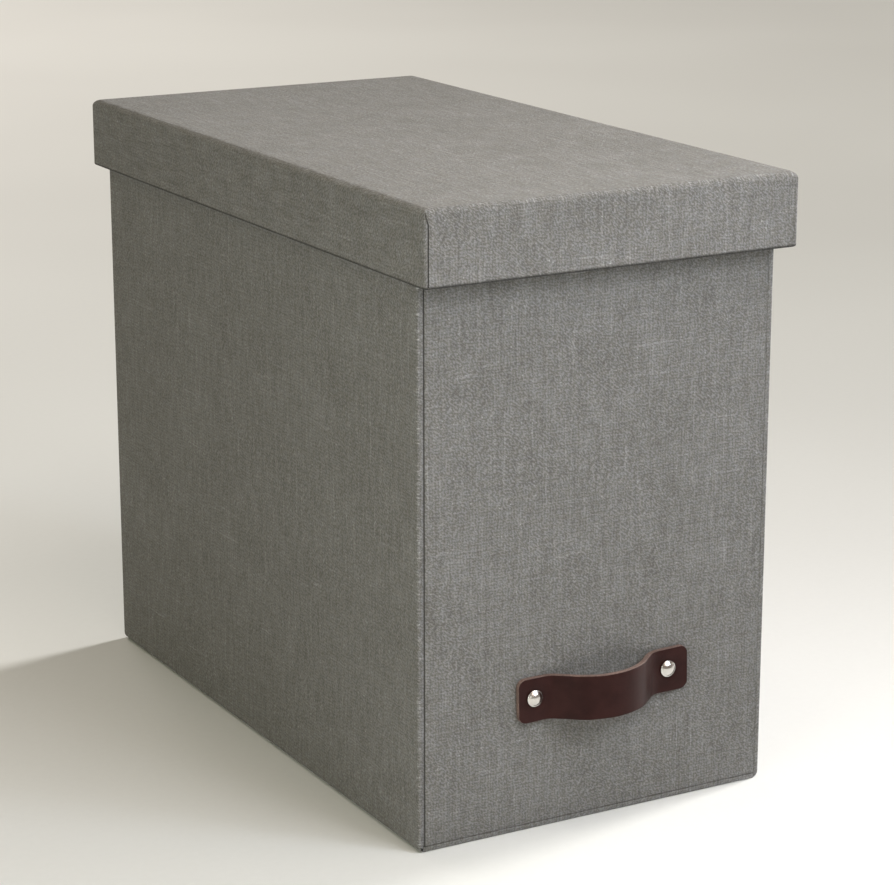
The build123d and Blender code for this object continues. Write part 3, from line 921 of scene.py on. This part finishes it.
def leather_pull():
    """The strap: flat under both rivets, bowed between them, with a pressed ring round each rivet."""
    thickness = 2.6 * mm
    corner, soft = 4 * mm, 0.42 * mm  # rounding of the strap's corners and of its cut edges
    reach, apex = 27 * mm, 23.9 * mm  # where the bow leaves the wall, and the height its runs aim at
    foot_bend, crown_bend = 12.5 * mm, 27.5 * mm
    ring_radius, ring_width, ring_depth = 3.9 * mm, 0.9 * mm, 0.34 * mm  # pressed round each rivet
    edge_wobble = 0.16 * mm
    fine, coarse = 0.55 * mm, 1.0 * mm
    soft_steps, face_steps = 4, 18
    rivet_x = (cap_low.x + cap_radius, cap_high.x - cap_radius)
    centre_x, rivet_z = pull_middle
    wall = -end_face
    corners = [
        Vector((strap_low.x, wall)),
        Vector((centre_x - reach, wall)),
        Vector((centre_x, wall - apex)),
        Vector((centre_x + reach, wall)),
        Vector((strap_high.x, wall)),
    ]
    bends = [foot_bend, crown_bend, foot_bend]
    line = []

    def put(point, normal):
        length = line[-1][2] + (point - line[-1][0]).length if line else 0.0
        if not line or length - line[-1][2] > 1e-6:
            line.append((point, normal, length))

    here = corners[0]
    for k in range(1, len(corners)):
        along = (corners[k] - corners[k - 1]).normalized()
        outer = Vector((along.y, -along.x))
        last = k == len(corners) - 1
        cut = 0.0
        if not last:
            onward = (corners[k + 1] - corners[k]).normalized()
            turn = along.angle(onward)
            cut = bends[k - 1] * math.tan(turn / 2)
        stop = corners[k] - along * cut
        for distance in divided(0, (stop - here).length, coarse):
            put(here + along * distance, outer)
        if last:
            break
        side = 1 if along.cross(onward) > 0 else -1
        spoke = Vector((-along.y, along.x)) * side
        centre = stop + spoke * bends[k - 1]
        for distance in divided(0, turn * bends[k - 1], coarse)[1:]:
            angle = side * distance / bends[k - 1]
            cos, sin = math.cos(angle), math.sin(angle)
            arm = Vector((-spoke.x * cos + spoke.y * sin, -spoke.x * sin - spoke.y * cos))
            normal = Vector((outer.x * cos - outer.y * sin, outer.x * sin + outer.y * cos))
            put(centre + arm * bends[k - 1], normal)
        here = corners[k] + onward * cut

    total = line[-1][2]
    half_height = (strap_high.z - strap_low.z) / 2
    middle_z = (strap_high.z + strap_low.z) / 2

    def at_length(wanted):
        for (a, normal_a, start), (b, normal_b, end) in zip(line, line[1:]):
            if wanted <= end + 1e-9:
                share = (wanted - start) / (end - start)
                return a.lerp(b, share), normal_a.lerp(normal_b, share).normalized()
        return line[-1][0], line[-1][1]

    eased = [soft * (1 - math.cos(math.pi / 2 * k / soft_steps)) for k in range(soft_steps)]
    near_end = eased + divided(soft, corner, fine)
    lengths = near_end + divided(corner, total - corner, coarse)[1:-1]
    lengths += [total - value for value in reversed(near_end)]
    mesh = bmesh.new()
    flat = mesh.loops.layers.uv.new("weave")
    rings = []
    for length in lengths:
        point, normal = at_length(length)
        from_end = min(length, total - length)
        height = half_height
        if from_end < corner:
            height -= corner - math.sqrt(max(0.0, corner**2 - (corner - from_end) ** 2))
        shrink = 0.0
        if from_end < soft:
            shrink = soft - math.sqrt(max(0.0, soft**2 - (soft - from_end) ** 2))
        upper = []
        for step in range(soft_steps + 1):
            angle = math.pi / 2 * step / soft_steps
            z, t = height - soft + soft * math.sin(angle), thickness - soft + soft * math.cos(angle)
            upper.append((z, t))
        upper += [(z, thickness - t) for z, t in reversed(upper)]
        lower = [(-z, t) for z, t in reversed(upper)]
        across = [(height - soft) * (2 * k / face_steps - 1) for k in range(1, face_steps)]
        outer_face = [(z, thickness) for z in across]
        inner_face = [(-z, 0.0) for z in across]
        ring = []
        for z, t in [*outer_face, *upper, *inner_face, *lower]:
            t = min(max(t, shrink), thickness - shrink)
            wobble = noise.noise(Vector((length * 130, 3.1 if z > 0 else 7.7, 0))) * edge_wobble
            wobble *= (z / half_height) ** 3
            spot = point + normal * t
            press = 0.0
            if t > thickness * 0.7:
                for x in rivet_x:
                    gap = math.hypot(spot.x - x, middle_z + z - rivet_z)
                    press += ring_depth * math.exp(-(((gap - ring_radius) / ring_width) ** 2))
            spot = spot - normal * press
            vertex = mesh.verts.new(tilted(Vector((spot.x, spot.y, middle_z + z + wobble))))
            ring.append((vertex, (length, z, t)))
        rings.append(ring)
    faces = []
    for a, b in zip(rings, rings[1:]):
        for k in range(len(a)):
            j = (k + 1) % len(a)
            faces.append([a[k], a[j], b[j], b[k]])
    faces += [rings[0], rings[-1][::-1]]
    for pairs in faces:
        made = mesh.faces.new([vertex for vertex, _ in pairs])
        made.smooth = len(pairs) == 4
        grain_side = all(t > thickness - 0.3 * soft for _, (_, _, t) in pairs)
        made.material_index = 0 if grain_side else 1
        for loop, (_, (length, z, t)) in zip(made.loops, pairs):
            loop[flat].uv = (length, z + t)
    made = closed_object("leather_pull", mesh)
    finish_piece(made, "box", ["handle_strap"], [leather, raw_leather])


leather_pull()


# ---- Rivets ----


def turned(name, centre, profile, steps):
    """A closed round piece about the Y axis; profile lists (distance along +Y, radius) from end to end."""
    mesh = bmesh.new()
    rings = []
    for along, radius in profile:
        if radius < 1e-7:
            rings.append([mesh.verts.new(centre + Vector((0, along, 0)))])
            continue
        ring = []
        for k in range(steps):
            angle = 2 * math.pi * k / steps
            out = Vector((radius * math.cos(angle), along, radius * math.sin(angle)))
            ring.append(mesh.verts.new(centre + out))
        rings.append(ring)
    for a, b in zip(rings, rings[1:]):
        for k in range(steps):
            corners = [a[k % len(a)], a[(k + 1) % len(a)], b[(k + 1) % len(b)], b[k % len(b)]]
            corners = [v for i, v in enumerate(corners) if v is not corners[i - 1]]
            mesh.faces.new(corners).smooth = True
    return closed_object(name, mesh)


def rivet_domes():
    """The polished caps: a low dome with a rolled rim that bites into the leather."""
    height = cap_high.y - cap_low.y
    rim = 0.32 * mm  # radius of the rolled rim
    seat = 0.35 * mm  # how far the cap's flat back sits in the leather
    sphere = (cap_radius**2 + height**2) / (2 * height)
    profile = [(seat, 0.0), (seat, cap_radius - 1.0 * mm)]
    rim_steps, dome_steps = 8, 14
    for step in range(rim_steps + 1):
        angle = math.pi * step / rim_steps
        along = -rim + (rim + 0.02 * mm) * math.cos(angle)
        profile.append((along, cap_radius - rim + rim * math.sin(angle)))
    start = profile[-1][1]
    for step in range(1, dome_steps + 1):
        radius = start * (1 - step / dome_steps)
        profile.append((-(math.sqrt(sphere**2 - radius**2) - (sphere - height)), radius))
    for side_name, x in (("left", cap_low.x + cap_radius), ("right", cap_high.x - cap_radius)):
        centre = tilted(Vector((x, cap_high.y, pull_middle[1])))
        made = turned(f"{side_name}_rivet_dome", centre, profile, 56)
        finish_piece(made, "box", ["handle_rivet_caps"], [nickel])


rivet_domes()


# ---- Materials of the CAD nodes that stay in view ----

dressing = {
    board: [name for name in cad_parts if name.endswith("_board")],
    paper: [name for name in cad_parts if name.endswith("_lining")],
    rail_steel: ["front_file_rail", "back_file_rail"],
    rivet_steel: ["front_rail_rivets", "back_rail_rivets", "handle_rivet_posts", "handle_rivet_washers"],
}
for material, names in dressing.items():
    for name in names:
        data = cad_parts[name].data
        data.materials.clear()
        data.materials.append(material)


# ---- Floor, light and camera ----


def make_floor():
    """A large pale table top, which the light fills evenly."""
    bpy.ops.mesh.primitive_circle_add(vertices=96, radius=14, fill_type="NGON", location=(0, 0, 0))
    floor = bpy.context.active_object
    floor.name = "floor"
    n = Nodes("pale_floor")
    place = object_place(n)
    clouds = n.noise(place, 1.3, 2.0)
    grain = n.noise(place, 260, 2.0)
    value = n.math("MULTIPLY", n.spread(clouds, 0.99, 1.01), n.spread(grain, 0.995, 1.005))
    colour = n.shade((0.80, 0.80, 0.795), value)
    floor.data.materials.append(n.finish(colour, n.spread(clouds, 0.5, 0.6), n.bump(grain, 0.01 * mm)))


def set_up(name, data, place, turn):
    """Puts a lamp or the camera in its place. turn is a quaternion."""
    made = bpy.data.objects.new(name, data)
    made.location = place
    made.rotation_mode = "QUATERNION"
    made.rotation_quaternion = turn
    bpy.context.scene.collection.objects.link(made)
    return made


def new_light(name, kind, energy, colour):
    data = bpy.data.lights.new(name, kind)
    data.energy = energy
    data.color = colour
    return data


def make_sun(name, towards, strength, colour, spread):
    """A soft directional light that comes from the direction given."""
    data = new_light(name, "SUN", strength, colour)
    data.angle = math.radians(spread)
    set_up(name, data, (0, 0, 0), Vector(towards).to_track_quat("Z", "Y"))


def make_lamp(name, place, aim, size, power, colour):
    """A square soft box that points at a place."""
    data = new_light(name, "AREA", power, colour)
    data.size = size
    set_up(name, data, place, (Vector(place) - Vector(aim)).to_track_quat("Z", "Y"))


def make_world():
    """A warm pale wall on the left, a dim one on the right, and a pale backdrop for the camera."""
    n = Nodes("studio", world=True)
    bpy.context.scene.world = n.owner
    across, _, _ = n.apart(n.add("ShaderNodeTexCoord").outputs["Generated"])
    walls = n.add("ShaderNodeValToRGB")
    n.put_all(walls, Fac=n.math("ADD", n.math("MULTIPLY", across, 0.5), 0.5))
    stops = walls.color_ramp.elements
    stops.new(0.5)
    left, middle, right = (0.29, 0.28, 0.13, 1), (0.025, 0.02, 0.015, 1), (0.04, 0.035, 0.03, 1)
    for stop, colour in zip(stops, (left, middle, right)):
        stop.color = colour
    rays = n.add("ShaderNodeLightPath").outputs
    colour = n.mix(rays["Is Glossy Ray"], walls.outputs["Color"], (0.30, 0.255, 0.225, 1))
    colour = n.mix(rays["Is Camera Ray"], colour, (0.88, 0.88, 0.87, 1))
    n.put_all(n.tree.nodes["Background"], Color=colour)


def make_camera():
    """The photograph's view: from the front and the left, a little above the lid."""
    azimuth, elevation = math.radians(-29.345), math.radians(15.335)
    distance, target = 1.408882, Vector((0.0161, 0, 0.136219))
    flat = math.cos(elevation)
    back = Vector((math.sin(azimuth) * flat, -math.cos(azimuth) * flat, math.sin(elevation)))
    data = bpy.data.cameras.new("camera")
    data.sensor_width = 36
    data.lens = 112.79
    data.clip_start = 0.05
    data.clip_end = 60
    turn = (-back).to_track_quat("-Z", "Y")
    bpy.context.scene.camera = set_up("camera", data, target + back * distance, turn)


make_floor()
make_sun("window", (0.99, 0.16, 0.29), 4.45, (1.0, 0.99, 0.945), 12)
make_lamp("soft_box_front", (-0.1, -0.9, 1.05), (0, -0.05, 0.2), 0.7, 3.4, (1.0, 0.885, 0.765))
make_lamp("soft_box_over", (0.1, -0.27, 0.85), (0.05, -0.1, 0.29), 0.4, 2.3, (1.0, 0.94, 0.855))
make_lamp("soft_box_upper", (0.12, -0.55, 0.47), (0, -0.17, 0.26), 0.25, 1.3, (0.89, 0.93, 1.0))
make_lamp("soft_box_right", (0.7, -0.96, 0.9), (0, -0.1, 0.15), 0.3, 3.7, (0.78, 0.88, 1.0))
make_lamp("soft_box_left", (-0.7, -0.55, 0.30), (-0.1, -0.17, 0.14), 0.25, 2.2, (0.96, 1.0, 0.945))
make_lamp("soft_box_behind", (-0.4, 3.2, 2.3), (-0.4, 3.2, 0), 2.2, 50, (1.0, 0.925, 0.845))
make_world()
make_camera()
bpy.context.scene.view_settings.view_transform = "Standard"
